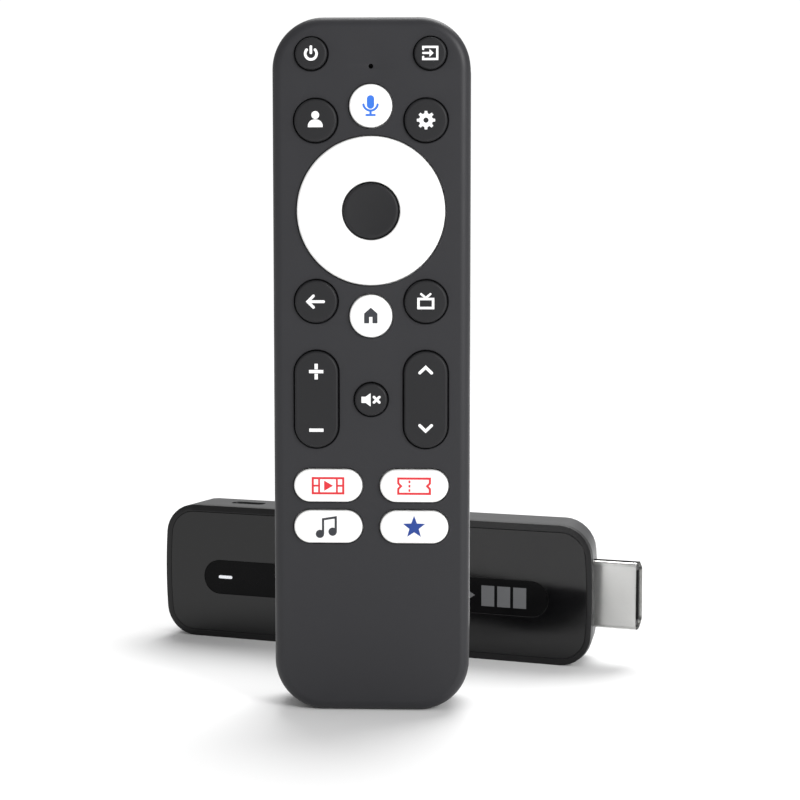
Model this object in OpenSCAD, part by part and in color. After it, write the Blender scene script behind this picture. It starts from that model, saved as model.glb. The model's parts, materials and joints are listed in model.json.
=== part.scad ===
// Streaming media stick with its voice remote standing in front of it.
// The stick stands on one long edge. X runs along the remote's width, Y away from the viewer,
// Z up. The origin is the middle of the edge that the stick stands on.

/* [Stick body] */
// Length of the stick body without its plug
stick_l = 104.4; // [95:1:125]
// Height of the stick as it stands on its long edge
stick_h = 30.9; // [28.5:0.5:40]
// Thickness of the stick, front to back
stick_t = 14.8; // [13.8:0.1:20]
// Corner radius of the stick's outline
stick_corner_r = 6.5; // [5:0.5:9]
// Rounding of the stick's rear edges
stick_edge_r = 2.2; // [1:0.1:3.2]
// How far the two ends swell out at mid height
end_swell = 0.9; // [0:0.1:1.5]
// Lean of the plug end's wall towards the rear, in degrees
plug_taper = 12; // [0:1:14]
// Lean of the free end's wall towards the rear, in degrees
free_taper = 1; // [0:1:10]
// Wall of the stick's rear housing
stick_wall = 1.5; // [1.1:0.1:2]
// Turn of the stick about the vertical, its plug end towards the viewer, in degrees
stick_turn = 19; // [0:1:30]

/* [Stick front] */
// Thickness of the front cover plate
cover_t = 1.8; // [1.5:0.1:2.6]
// Width of the chamfered rim, seen from the front
rim_w = 1.2; // [0.6:0.1:2]
// Depth of the chamfered rim
rim_depth = 0.3; // [0.2:0.1:1]
// Flat land between the rim and the glossy panel
land_w = 0.3; // [0.2:0.1:1]
// Thickness of the glossy front panel
panel_t = 0.8; // [0.7:0.1:1]
// Length of the dark strip in the panel
strip_l = 84; // [60:1:88]
// Height of the dark strip
strip_h = 7.9; // [5:0.1:12]
// Depth of the strip's face below the panel's face
strip_sink = 0.12; // [0.05:0.01:0.2]
// Length of the light bar
light_l = 3.5; // [2:0.1:6]
// Height of the light bar
light_h = 0.7; // [0.6:0.1:2]
// Distance from the strip's end to the middle of the light bar
light_inset = 5.4; // [4:0.1:12]

/* [Stick plugs] */
// Width of the video plug's shell
plug_w = 13.9; // [13.7:0.1:14.1]
// Thickness of the video plug's shell
plug_t = 4.45; // [4.3:0.05:4.6]
// Reach of the video plug past the body's end
plug_out = 8.2; // [8:0.1:12]
// Sheet thickness of the video plug's shell
plug_sheet = 0.3; // [0.2:0.05:0.4]
// Distance from the stick's free end to the middle of the power socket
socket_from_end = 18.2; // [15:0.1:22]
// Width of the power socket's shell
socket_w = 7.5; // [6.8:0.1:8.5]
// Thickness of the power socket's shell
socket_t = 2.6; // [2.2:0.1:3.2]
// Depth of the power socket's shell
socket_d = 5; // [4:0.1:6]
// Radius of the reset button
reset_r = 0.65; // [0.5:0.05:1]

/* [Remote body] */
// Width of the remote
remote_w = 38.5; // [38:0.5:46]
// Height of the remote as it stands
remote_l = 136.1; // [135.1:0.5:165]
// Thickness of the remote, face to back
remote_t = 18.4; // [18.1:0.1:22]
// Corner radius of the remote's outline
remote_corner_r = 10; // [7:0.5:11]
// Rounding of the face's edge
face_edge_r = 2; // [1:0.1:2.4]
// Rounding of the back's edge
back_edge_r = 5; // [4:0.1:5.4]
// Depth of the face shell, from the face to the seam
face_depth = 8; // [7.2:0.1:9]
// Wall of both remote shells
remote_wall = 1.5; // [1.2:0.1:1.8]
// Distance from the remote's face to the stick's standing line
remote_ahead = 64; // [50:0.5:90]
// Sideways place of the remote
remote_x = 1.1; // [-10:0.5:10]

/* [Keys] */
// Radius of the round keys beside the ring
key_r = 4.15; // [3.8:0.05:4.5]
// Radius of the two top corner keys
small_key_r = 3.1; // [2.6:0.05:3.6]
// Radius of the mute key
mute_r = 3.2; // [2.8:0.05:3.8]
// Radius of the direction ring
ring_r = 14.4; // [13.5:0.05:14.8]
// Radius of the select key inside the ring
select_r = 5.4; // [4.5:0.05:6.5]
// Width of the two tall rocker keys
rocker_w = 8.5; // [7.5:0.1:9.2]
// Height of the two tall rocker keys
rocker_h = 19; // [16:0.1:20]
// Width of a shortcut key
shortcut_w = 13.4; // [12:0.1:14.2]
// Height of a shortcut key
shortcut_h = 6.4; // [5.5:0.1:6.8]
// Height of the keys above the face
key_proud = 0.9; // [0.5:0.1:1.4]
// Gap between a key and its hole
key_gap = 0.2; // [0.12:0.01:0.3]
// Travel of a pressed key
key_travel = 0.6; // [0.3:0.05:0.65]
// Radius of the microphone hole
mic_r = 0.45; // [0.3:0.05:0.8]
// Sideways place of the outer key columns
column_x = 10.7; // [10:0.05:11.4]
// Sideways place of the two top corner keys
top_key_x = 11.5; // [10.5:0.05:11.8]
// Sideways place of the shortcut keys
shortcut_x = 8.45; // [8.2:0.05:8.6]

/* [Battery bay] */
// Diameter of a battery
battery_d = 10.5; // [10.3:0.1:10.5]
// Length of a battery with its cap
battery_l = 44.5; // [43.3:0.1:44.5]
// Width of the battery cover
door_w = 26; // [24:0.5:27]
// Thickness of the battery cover
door_t = 1.4; // [1:0.1:1.4]
// Height of the cover's lower edge above the remote's end
door_z = 11.5; // [10:0.1:13]

/* [Hidden] */
$fn = 48;
eps = 0.01;
edge_steps = [0:15:90]; // angles round a rounded edge
fit = 0.1; // clearance between parts that are pushed together

// Stick: places through its thickness, from its mid-plane
stick_front = -stick_t / 2;
stick_back = stick_t / 2;
cover_back = stick_front + cover_t;
panel_inset = rim_w + land_w;
lip_t = 1;
lip_depth = 2;
lip_inset = stick_wall + fit;
strip_t = 0.38;
strip_z = -1.15;
light_x = -strip_l / 2 + light_inset;
pipe_flange = 0.55;

// Stick circuit board
board_t = 1;
board_gap = 1.1;
board_l0 = -stick_l / 2 + stick_wall + 2.5;
board_l1 = stick_l / 2 - 9;
board_h = stick_h - 2 * stick_wall - 2 * board_gap;
can_l = 38;
can_h = 19;
can_t = 2;
can_sheet = 0.25;
can_x = 3;
chip_gap = 0.12;
processor_s = 14;
processor_t = 1.1;
processor_x = can_x + 6;
memory_l = 9;
memory_h = 7.5;
memory_t = 0.9;
pad_s = 16;
pad_t = 1.1;
spreader_l = 64;
spreader_h = 21;
spreader_t = 1;
light_chip = [1.6, 0.8, 0.8];
module_s = 12;
module_t = 1.7;
module_x = -24;
module_z = -5;
post_r = 2.1;
pilot_r = 0.82;
screw_r = 0.8;
screw_head_r = 1.6;
screw_head_t = 0.8;
screw_l = 4;
post_at = [[board_l0 + 5, 7.5], [board_l1 - 6, -8]];
pin_at = [[board_l0 + 5, -7.5], [board_l1 - 6, 8]];

// Video plug and power socket
plug_tip = stick_l / 2 + plug_out;
plug_root = board_l1;
tongue_room = [plug_out + 1.2, 11, 2.3];
contact_t = 0.2;
contact_w = 0.42;
contact_pitch = 1;
socket_x = -stick_l / 2 + socket_from_end;
socket_sheet = 0.25;
socket_sink = 0.6;
socket_top = stick_h / 2 - socket_sink;
reset_x = -9;
reset_y = 1.45;
reset_sink = 0.3;
switch_size = [3.6, 1.7, 2.4];

// Remote: places through its thickness, from its face
face_wall = remote_wall;
flange_t = 0.55;
flange_w = 0.6;
ring_flange_w = 0.4;
flange_y = face_wall + fit;
tilt_room = 0.55;
tilt_flange_y = face_wall + tilt_room;
web_y = flange_y + flange_t + key_travel + 0.05;
web_t = 0.5;
rboard_y = web_y + 1.7;
rboard_t = 0.8;
rboard_inset = 2.6;
dome_t = 0.15;
dome_r = 1.9;
stem_r = 1.7;
stem_end = rboard_y - dome_t - key_travel - fit;
pad_gap = 0.5;
pad_y = tilt_flange_y + flange_t + pad_gap;
pad_sheet = 0.4;
ring_z = 98.8;
rocker_z = 62.05;
rocker_stem_z = 6;
ring_hole_r = select_r + 0.25;
ring_edge_r = 0.5;

// Key places on the face: [x, z], from the lower end of the remote
power_at = [-top_key_x, 129];
input_at = [top_key_x, 129];
mic_at = [0, 126.6];
voice_at = [0, 119];
account_at = [-column_x, 116.2];
settings_at = [column_x, 116.2];
select_at = [0, ring_z];
back_at = [-column_x, 81.2];
guide_at = [column_x, 81.2];
home_at = [0, 78.4];
mute_at = [0, rocker_z];
volume_at = [-column_x, rocker_z];
channel_at = [column_x, rocker_z];
shortcut_at = [[-shortcut_x, 45.1], [shortcut_x, 45.1], [-shortcut_x, 36.95], [shortcut_x, 36.95]];
round_keys = [
    [power_at, small_key_r], [input_at, small_key_r], [voice_at, key_r], [account_at, key_r],
    [settings_at, key_r], [back_at, key_r], [guide_at, key_r], [home_at, key_r], [mute_at, mute_r]
];
rscrew_at = [[0, 71.6], [0, 8], [0, remote_l - 5.3]];
rpost_r = 1.7;
rpilot_r = 0.72;
rscrew_r = 0.7;
rscrew_l = 2.6;
rscrew_head_r = 1.4;
rscrew_head_t = 0.7;

// Battery bay, behind the remote's circuit board
bay_wall = 0.9;
bay_floor_y = rboard_y + rboard_t + fit;
bay_floor_t = 0.7;
battery_y = bay_floor_y + bay_floor_t + fit + battery_d / 2;
battery_x = battery_d / 2 + 0.2;
bay_w = 2 * (battery_x + battery_d / 2 + 0.25);
spring_room = 4.6;
plate_t = 0.3;
bay_z = door_z + 2.9;
bay_l = battery_l + spring_room + 2 * plate_t + 0.3;
door_h = bay_l + 5.2;
door_gap = 0.15;
door_y = remote_t - door_t;
tab_w = 4;
tab_reach = 1.8;
tab_root = 0.6;
tab_t = 0.8;
tab_x = 7;
tab_gap = 0.15;
tab_side = 0.4;
ledge_t = 0.9;
cavity_back = door_y - fit - ledge_t;
seam_lip_t = 0.9;
seam_lip = 1.2;
window_w = 12;
window_t = 3.2;
window_y = face_depth + 2.7;
emitter_r = 1.5;

// ---------- outlines and placing ----------

// Rectangle with round corners, centred, w along X and h along Z
function rounded(w, h, r, n = 8) = [
    for (k = [0:3], i = [0:n])
        let (a = 90 * (k + i / n),
             cx = (k == 0 || k == 3 ? 1 : -1) * (w / 2 - r),
             cz = (k < 2 ? 1 : -1) * (h / 2 - r))
        [cx + r * cos(a), cz + r * sin(a)]
];

// Slot shape with round ends, length l along X, width d
function pill(l, d, n = 16) = [
    for (k = [0, 1], i = [0:n])
        let (a = -90 + 180 * k + 180 * i / n)
        [(k == 0 ? 1 : -1) * (l - d) / 2 + d / 2 * cos(a), d / 2 * sin(a)]
];

// The same slot shape, standing when it is higher than it is wide
function key_points(w, h) = h > w ? [for (p = pill(h, w)) [-p[1], p[0]]] : pill(w, h);

function at_zero(p) = [p[0], 0, p[1]];

module in_stick() {
    translate([0, 0, stick_h / 2])
        rotate([0, 0, -stick_turn])
            children();
}

module in_remote() {
    translate([remote_x, -remote_ahead, 0])
        children();
}

// An outline drawn in X and Z, extruded from y0 to y1
module slab(y0, y1) {
    translate([0, y1, 0])
        rotate([90, 0, 0])
            linear_extrude(y1 - y0)
                children();
}

// A closed form through outlines of one number of points, rings[i] lying at the depth ys[i]
module loft(rings, ys) {
    n = len(rings[0]);
    last = len(rings) - 1;
    points = [for (i = [0:last], p = rings[i]) [p[0], ys[i], p[1]]];
    front = [for (k = [n - 1:-1:0]) k];
    back = [for (k = [0:n - 1]) last * n + k];
    sides = [for (i = [0:last - 1], k = [0:n - 1])
        let (k2 = (k + 1) % n)
        [i * n + k, i * n + k2, (i + 1) * n + k2, (i + 1) * n + k]];
    polyhedron(points, concat([front], sides, [back]), convexity = 4);
}

// A round bar along Y
module peg(at, r, y0, y1) {
    translate([at[0], y1, at[1]])
        rotate([90, 0, 0])
            cylinder(h = y1 - y0, r = r);
}

module block(x0, x1, y0, y1, z0, z1) {
    translate([x0, y0, z0])
        cube([x1 - x0, y1 - y0, z1 - z0]);
}

// A chip or plate lying on the XZ plane, centred on [x, z]
module chip(x, z, w, h, y0, y1) {
    block(x - w / 2, x + w / 2, y0, y1, z - h / 2, z + h / 2);
}

// ---------- stick ----------

// Rectangle with round corners and swelling ends, on the stick's long side
function stick_outline(w, h, r, n = 8, m = 6) = [
    for (k = [0:3], i = [0:(k % 2 == 0 ? n : n + m)])
        let (a = 90 * (k + min(i, n) / n),
             sx = k == 0 || k == 3 ? 1 : -1,
             sz = k < 2 ? 1 : -1,
             x = sx * (w / 2 - end_swell - r) + r * cos(a),
             z = sz * (h / 2 - r) * (1 - 2 * max(0, i - n) / (m + 1)) + r * sin(a))
        [x + sx * end_swell * (1 - pow(2 * z / h, 2)), z]
];

// The stick's outline at a depth y, taken in by d all round
function stick_ring(d, y) =
    let (free = (y - stick_front) * tan(free_taper),
         plug = (y - stick_front) * tan(plug_taper))
    [for (p = stick_outline(stick_l - free - plug - 2 * d, stick_h - 2 * d, stick_corner_r - d))
        p + [(free - plug) / 2, 0]];

// The stick's closed outer form from y0 to y1, taken in by inset all round
module stick_form(inset, y0, y1, edge) {
    ys = concat(y0, [for (a = edge_steps) y1 - edge + edge * sin(a)]);
    ds = concat(inset, [for (a = edge_steps) inset + edge * (1 - cos(a))]);
    loft([for (i = [0:len(ys) - 1]) stick_ring(ds[i], ys[i])], ys);
}

// The video plug's profile in Y and Z, drawn along X; narrow side at the rear
module plug_bar(inset, x0, x1) {
    w = plug_w / 2 - inset;
    t = plug_t / 2 - inset;
    narrow = plug_w / 2 - 1.4 - inset * 0.6;
    translate([x0, 0, 0])
        rotate([90, 0, 90])
            linear_extrude(x1 - x0)
                polygon([[-t, -w], [-t, w], [0.3, w], [t, narrow], [t, -narrow], [0.3, -w]]);
}

// The mouth of the power socket as it is cut or filled, along Z
module socket_bar(grow, z0, z1) {
    translate([socket_x, 0, z0])
        linear_extrude(z1 - z0)
            polygon(rounded(socket_w + 2 * grow, socket_t + 2 * grow, 0.7 + grow, 5));
}

module stick_housing() {
    color("dimgray")
        difference() {
            union() {
                difference() {
                    stick_form(0, cover_back, stick_back, stick_edge_r);
                    stick_form(stick_wall, cover_back - eps, stick_back - stick_wall,
                               stick_edge_r - 1);
                }
                for (p = concat(post_at, pin_at))
                    peg(p, post_r, board_t / 2, stick_back - stick_wall + 0.2);
            }
            for (p = post_at)
                peg(p, pilot_r, 0, screw_l + fit);
            plug_bar(-fit, stick_l / 2 - 6, stick_l / 2 + 1);
            socket_bar(0.3, stick_h / 2 - stick_wall - 0.5, stick_h / 2 + 1);
            translate([reset_x, reset_y, stick_h / 2 - stick_wall - 0.5])
                cylinder(h = stick_wall + 1, r = reset_r + fit);
        }
}

module light_pipe_cut(grow, y0, y1) {
    translate([light_x, 0, strip_z])
        slab(y0, y1)
            polygon(pill(light_l + 2 * grow, light_h + 2 * grow, 10));
}

module stick_front_cover() {
    inner = lip_inset + lip_t;
    color("black")
        difference() {
            union() {
                loft([stick_ring(rim_w, stick_front), stick_ring(0, cover_back),
                      stick_ring(0, cover_back)],
                     [stick_front, stick_front + rim_depth, cover_back]);
                difference() {
                    slab(cover_back - eps, cover_back + lip_depth)
                        polygon(stick_ring(lip_inset, cover_back + lip_depth));
                    slab(cover_back, cover_back + lip_depth + 1)
                        polygon(stick_ring(inner, cover_back + lip_depth));
                }
            }
            slab(stick_front - 1, stick_front + panel_t)
                polygon(stick_outline(stick_l - 2 * panel_inset, stick_h - 2 * panel_inset,
                                stick_corner_r - panel_inset));
            light_pipe_cut(fit / 2, stick_front, cover_back + 1);
        }
}

module stick_front_panel() {
    edge = panel_inset + fit / 2;
    color("black")
        difference() {
            slab(stick_front, stick_front + panel_t)
                polygon(stick_outline(stick_l - 2 * edge, stick_h - 2 * edge, stick_corner_r - edge));
            translate([0, 0, strip_z])
                slab(stick_front - 1, stick_front + strip_sink + strip_t)
                    polygon(pill(strip_l, strip_h));
            light_pipe_cut(fit / 2, stick_front, stick_front + panel_t + 1);
        }
}

module stick_strip() {
    color([0.07, 0.07, 0.07])
        difference() {
            translate([0, 0, strip_z])
                slab(stick_front + strip_sink, stick_front + strip_sink + strip_t)
                    polygon(pill(strip_l - fit, strip_h - fit));
            light_pipe_cut(fit / 2, stick_front, stick_front + 1);
        }
}

module stick_light_pipe() {
    color("white") {
        light_pipe_cut(0, stick_front + strip_sink, -board_t / 2 - light_chip[2] - fit);
        light_pipe_cut(pipe_flange, cover_back, cover_back + 0.6);
    }
}

module stick_circuit_board() {
    mid = (board_l0 + board_l1) / 2;
    color("darkgreen")
        difference() {
            translate([mid, 0, 0])
                slab(-board_t / 2, board_t / 2)
                    polygon(rounded(board_l1 - board_l0, board_h, 4));
            socket_bar(fit, socket_top - socket_d - fit, stick_h);
            for (p = post_at)
                peg(p, screw_r + fit, -1, 1);
        }
}

module stick_light() {
    color("ivory")
        chip(light_x, strip_z, light_chip[0], light_chip[1],
             -board_t / 2 - light_chip[2], -board_t / 2);
}

module hdmi_plug_shell() {
    color("silver")
        difference() {
            plug_bar(0, plug_root, plug_tip);
            plug_bar(plug_sheet, plug_root - 1, plug_tip + 1);
        }
}

module hdmi_plug_insulator() {
    room = tongue_room;
    color([0.12, 0.12, 0.12])
        difference() {
            plug_bar(plug_sheet + 0.02, plug_root, plug_tip - 0.4);
            block(plug_tip - room[0], plug_tip, -room[2] / 2, room[2] / 2, -room[1] / 2, room[1] / 2);
            hdmi_plug_contacts();
        }
}

// One contact: a tail on the board, a step in the insulator and a spring in the plug's mouth
module plug_contact(z, side) {
    half_w = contact_w / 2;
    step_x = plug_root + 2;
    spring_y = tongue_room[2] / 2;
    scale([1, side, 1]) {
        block(plug_root - 2, step_x + contact_t, board_t / 2, board_t / 2 + contact_t,
              z - half_w, z + half_w);
        block(step_x, step_x + contact_t, board_t / 2, spring_y, z - half_w, z + half_w);
        block(step_x, plug_tip - 1.6, spring_y - contact_t, spring_y, z - half_w, z + half_w);
    }
}

module hdmi_plug_contacts() {
    color("gold") {
        for (i = [0:9])
            plug_contact((i - 4.5) * contact_pitch, -1);
        for (i = [0:8])
            plug_contact((i - 4) * contact_pitch, 1);
    }
}

module power_socket_shell() {
    color("silver")
        difference() {
            socket_bar(0, socket_top - socket_d, socket_top);
            socket_bar(-socket_sheet, socket_top - socket_d + socket_sheet, socket_top + 1);
        }
}

module power_socket_tongue() {
    base = socket_top - socket_d + socket_sheet;
    color("black") {
        chip(socket_x, base + 0.5, socket_w - 2 * socket_sheet - 0.6, 1,
             -socket_t / 2 + socket_sheet + fit, socket_t / 2 - socket_sheet - fit);
        chip(socket_x, base + 2, 4.6, 2.2, -0.55, -0.05);
    }
}

module stick_processor() {
    color([0.15, 0.15, 0.16])
        chip(processor_x, 0, processor_s, processor_s, -board_t / 2 - processor_t, -board_t / 2);
}

module stick_memory_chips() {
    x = processor_x - processor_s / 2 - 1 - memory_l / 2;
    color([0.13, 0.13, 0.13])
        for (side = [-1, 1])
            chip(x, side * (memory_h / 2 + 0.7), memory_l, memory_h,
                 -board_t / 2 - memory_t, -board_t / 2);
}

module stick_flash_chip() {
    color([0.13, 0.13, 0.13])
        chip(processor_x, 0, 13, 11.5, board_t / 2, board_t / 2 + 1);
}

module stick_shield_can() {
    front = -board_t / 2;
    color("lightgray")
        difference() {
            chip(can_x, 0, can_l, can_h, front - can_t, front);
            chip(can_x, 0, can_l - 2 * can_sheet, can_h - 2 * can_sheet,
                 front - can_t + can_sheet, front + 1);
        }
}

module stick_thermal_pad() {
    front = -board_t / 2 - can_t;
    color("lightblue")
        chip(processor_x, 0, pad_s, pad_s, front - pad_t, front);
}

module stick_heat_spreader() {
    front = -board_t / 2 - can_t - pad_t;
    color("silver")
        chip(can_x, 0, spreader_l, spreader_h, front - spreader_t, front);
}

module stick_wireless_module() {
    color("lightgray")
        chip(module_x, module_z, module_s, module_s, board_t / 2, board_t / 2 + module_t);
}

// Two stamped antennas at the free end of the board, each a foot, an upright and an arm
module stick_antennas() {
    x = board_l0 + 1.4;
    front = -board_t / 2;
    color("gold")
        for (side = [-1, 1]) {
            z = side * 4;
            block(x, x + 2, front - 0.2, front, z - 0.6, z + 0.6);
            block(x, x + 0.2, front - 2.4, front, z - 0.6, z + 0.6);
            block(x, x + 0.2, front - 2.4, front - 1.4, min(z, z + side * 5), max(z, z + side * 5));
        }
}

module stick_power_parts() {
    x = can_x - can_l / 2 - 5;
    front = -board_t / 2;
    color("darkslategray") {
        chip(x, 5, 4, 4, front - 1.9, front);
        chip(x, -1, 3, 2.5, front - 1.2, front);
        for (i = [0:3])
            chip(x - 4.5, -6 + 2.2 * i, 1.6, 0.9, front - 0.8, front);
    }
}

module stick_screws() {
    color("silver")
        for (p = post_at)
            difference() {
                union() {
                    peg(p, screw_head_r, -board_t / 2 - screw_head_t, -board_t / 2);
                    peg(p, screw_r, -board_t / 2, screw_l);
                }
                for (turn = [0, 90])
                    translate(at_zero(p))
                        rotate([0, turn, 0])
                            block(-1.1, 1.1, -board_t / 2 - 1, -board_t / 2 - 0.4, -0.2, 0.2);
            }
}

module reset_switch() {
    color("lightgray")
        block(reset_x - switch_size[0] / 2, reset_x + switch_size[0] / 2,
              board_t / 2, board_t / 2 + switch_size[1],
              board_h / 2 - switch_size[2], board_h / 2);
}

module reset_button() {
    top = stick_h / 2 - reset_sink;
    foot = board_h / 2 + 0.3;
    color([0.2, 0.2, 0.2])
        translate([reset_x, reset_y, 0]) {
            translate([0, 0, foot])
                cylinder(h = top - foot, r = reset_r);
            translate([0, 0, foot])
                cylinder(h = 0.4, r = reset_r + 0.4);
        }
}

// ---------- remote ----------

// The remote's outline, taken in by d all round
function remote_ring(d) = rounded(remote_w - 2 * d, remote_l - 2 * d, remote_corner_r - d);

module remote_slice(inset, y0, y1) {
    translate([0, 0, remote_l / 2])
        slab(y0, y1)
            polygon(remote_ring(inset));
}

// The remote's closed form from y0 to y1 with its front edge rounded
module face_form(inset, y0, y1, edge) {
    ys = concat([for (a = edge_steps) y0 + edge * (1 - cos(a))], y1);
    ds = concat([for (a = edge_steps) inset + edge * (1 - sin(a))], inset);
    translate([0, 0, remote_l / 2])
        loft([for (d = ds) remote_ring(d)], ys);
}

// The remote's closed form from y0 to y1 with its rear edge rounded
module back_form(inset, y0, y1, edge) {
    ys = concat(y0, [for (a = edge_steps) y1 - edge + edge * sin(a)]);
    ds = concat(inset, [for (a = edge_steps) inset + edge * (1 - cos(a))]);
    translate([0, 0, remote_l / 2])
        loft([for (d = ds) remote_ring(d)], ys);
}

module long_key_cut(at, w, h, grow, y0, y1) {
    translate(at_zero(at))
        slab(y0, y1)
            polygon(key_points(w + 2 * grow, h + 2 * grow));
}

module remote_face_shell() {
    color([0.23, 0.23, 0.24])
        difference() {
            union() {
                difference() {
                    face_form(0, 0, face_depth, face_edge_r);
                    face_form(remote_wall, face_wall, face_depth + eps, face_edge_r - 1);
                }
                for (p = rscrew_at)
                    peg(p, rpost_r, face_wall - 0.2, rboard_y);
            }
            for (p = rscrew_at)
                peg(p, rpilot_r, rboard_y - rscrew_l - fit, rboard_y + 1);
            for (k = round_keys)
                peg(k[0], k[1] + key_gap, -1, face_wall + 1);
            peg(select_at, ring_r + key_gap, -1, face_wall + 1);
            peg(mic_at, mic_r, -1, face_wall + 1);
            for (at = [volume_at, channel_at])
                long_key_cut(at, rocker_w, rocker_h, key_gap, -1, face_wall + 1);
            for (at = shortcut_at)
                long_key_cut(at, shortcut_w, shortcut_h, key_gap, -1, face_wall + 1);
        }
}

// The cover's plate, or with grow the opening that it closes
module door_plate(grow, y0, y1) {
    translate([0, 0, door_z + door_h / 2])
        slab(y0, y1)
            polygon(rounded(door_w + 2 * grow, door_h + 2 * grow, 2 + grow, 5));
}

module battery_tray() {
    difference() {
        block(-bay_w / 2 - bay_wall, bay_w / 2 + bay_wall, bay_floor_y, cavity_back + 0.2,
              bay_z - bay_wall, bay_z + bay_l + bay_wall);
        block(-bay_w / 2, bay_w / 2, bay_floor_y + bay_floor_t, remote_t + 1, bay_z, bay_z + bay_l);
    }
}

module remote_back_shell() {
    color([0.2, 0.2, 0.21])
        difference() {
            union() {
                difference() {
                    back_form(0, face_depth, remote_t, back_edge_r);
                    back_form(remote_wall, face_depth - eps, cavity_back, back_edge_r - 1);
                }
                difference() {
                    union() {
                        remote_slice(remote_wall + fit, face_depth - seam_lip, face_depth + 1);
                        remote_slice(remote_wall - 0.2, face_depth + 0.3, face_depth + 1);
                    }
                    remote_slice(remote_wall + fit + seam_lip_t, face_depth - 2, face_depth + 2);
                }
                battery_tray();
            }
            door_plate(door_gap, door_y - fit, remote_t + 1);
            block(-bay_w / 2, bay_w / 2, bay_floor_y + bay_floor_t, remote_t + 1,
                  bay_z, bay_z + bay_l);
            for (side = [-1, 1])
                block(side * tab_x - tab_w / 2 - tab_side, side * tab_x + tab_w / 2 + tab_side,
                      cavity_back - 1, door_y - fit, door_z - tab_reach - 0.3,
                      door_z + tab_root + 1.6);
            block(-window_w / 2 - fit / 2, window_w / 2 + fit / 2,
                  window_y - window_t / 2 - fit / 2, window_y + window_t / 2 + fit / 2,
                  remote_l - remote_wall - 2, remote_l + 1);
        }
}

module battery_cover() {
    color([0.2, 0.2, 0.21])
        difference() {
            union() {
                door_plate(0, door_y, remote_t);
                for (side = [-1, 1])
                    block(side * tab_x - tab_w / 2, side * tab_x + tab_w / 2,
                          door_y - fit - tab_gap - tab_t, door_y + eps,
                          door_z - tab_reach, door_z + tab_root);
            }
            block(-door_w / 2, door_w / 2, door_y - fit - tab_gap, remote_t + 1,
                  door_z - tab_reach - 1, door_z);
        }
}

module key_membrane() {
    rim = 1.1;
    color("gray")
        difference() {
            union() {
                remote_slice(rboard_inset, web_y, web_y + web_t);
                difference() {
                    remote_slice(rboard_inset, web_y, rboard_y);
                    remote_slice(rboard_inset + rim, web_y - 1, rboard_y + 1);
                }
            }
            for (k = round_keys)
                peg(k[0], stem_r + 0.3, 0, rboard_y);
            peg(select_at, ring_r + ring_flange_w + 0.5, 0, rboard_y);
            chip(mic_at[0], mic_at[1], 4.6, 3.8, 0, rboard_y);
            for (at = [volume_at, channel_at])
                long_key_cut(at, rocker_w, rocker_h, flange_w + 0.35, 0, rboard_y);
            for (at = shortcut_at)
                peg(at, stem_r + 0.3, 0, rboard_y);
            for (p = rscrew_at)
                peg(p, rpost_r + 0.3, 0, rboard_y);
        }
}

module remote_circuit_board() {
    color("darkgreen")
        difference() {
            remote_slice(rboard_inset, rboard_y, rboard_y + rboard_t);
            for (p = rscrew_at)
                peg(p, rscrew_r + fit, rboard_y - 1, rboard_y + 2);
        }
}

module remote_contact_domes() {
    color("silver") {
        for (k = round_keys)
            peg(k[0], dome_r, rboard_y - dome_t, rboard_y);
        for (at = concat(shortcut_at, [select_at]))
            peg(at, dome_r, rboard_y - dome_t, rboard_y);
        for (at = [volume_at, channel_at], side = [-1, 1])
            peg(at + [0, side * rocker_stem_z], dome_r, rboard_y - dome_t, rboard_y);
        for (a = [0:90:270])
            peg(select_at + 10 * [cos(a), sin(a)], dome_r, rboard_y - dome_t, rboard_y);
    }
}

module remote_chips() {
    back = rboard_y + rboard_t;
    color([0.13, 0.13, 0.13]) {
        chip(0, 100, 6, 6, back, back + 0.9);
        chip(-8, 104, 3.2, 2.5, back, back + 0.8);
        for (i = [0:3])
            chip(8, 92 + 3 * i, 1.6, 0.8, back, back + 0.7);
    }
}

module remote_screws() {
    back = rboard_y + rboard_t;
    color("silver")
        for (p = rscrew_at)
            difference() {
                union() {
                    peg(p, rscrew_r, rboard_y - rscrew_l, back);
                    peg(p, rscrew_head_r, back, back + rscrew_head_t);
                }
                for (turn = [0, 90])
                    translate(at_zero(p))
                        rotate([0, turn, 0])
                            block(-0.9, 0.9, back + 0.3, back + 1, -0.18, 0.18);
            }
}

module microphone() {
    color("gold")
        chip(mic_at[0], mic_at[1], 3.5, 2.7, rboard_y - 1, rboard_y);
}

// A round-nosed lamp with two legs that stand on the board
module infrared_emitter() {
    back = rboard_y + rboard_t;
    top = remote_l - remote_wall - 1.2;
    color("indigo") {
        translate([0, window_y, top - 5])
            cylinder(h = 3.5, r = emitter_r);
        translate([0, window_y, top - 1.5])
            sphere(r = emitter_r);
        for (side = [-1, 1]) {
            block(side * 0.8 - 0.2, side * 0.8 + 0.2, window_y - 0.2, window_y + 0.2,
                  top - 7, top - 4.9);
            block(side * 0.8 - 0.2, side * 0.8 + 0.2, back, window_y + 0.2, top - 7.4, top - 7);
        }
    }
}

module infrared_window() {
    color([0.1, 0.03, 0.05])
        block(-window_w / 2, window_w / 2, window_y - window_t / 2, window_y + window_t / 2,
              remote_l - remote_wall - 0.5, remote_l);
}

// One cell standing in the bay, its cap up, or turned over
module battery(x, turned) {
    cap = 0.8;
    z0 = bay_z + plate_t + (turned ? 0 : spring_room);
    translate([x, battery_y, z0])
        translate([0, 0, turned ? battery_l : 0])
            scale([1, 1, turned ? -1 : 1]) {
                cylinder(h = battery_l - cap, r = battery_d / 2);
                cylinder(h = battery_l, r = 1.9);
            }
}

module battery_left() {
    color("darkorange") battery(-battery_x, false);
}

module battery_right() {
    color("darkorange") battery(battery_x, true);
}

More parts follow.
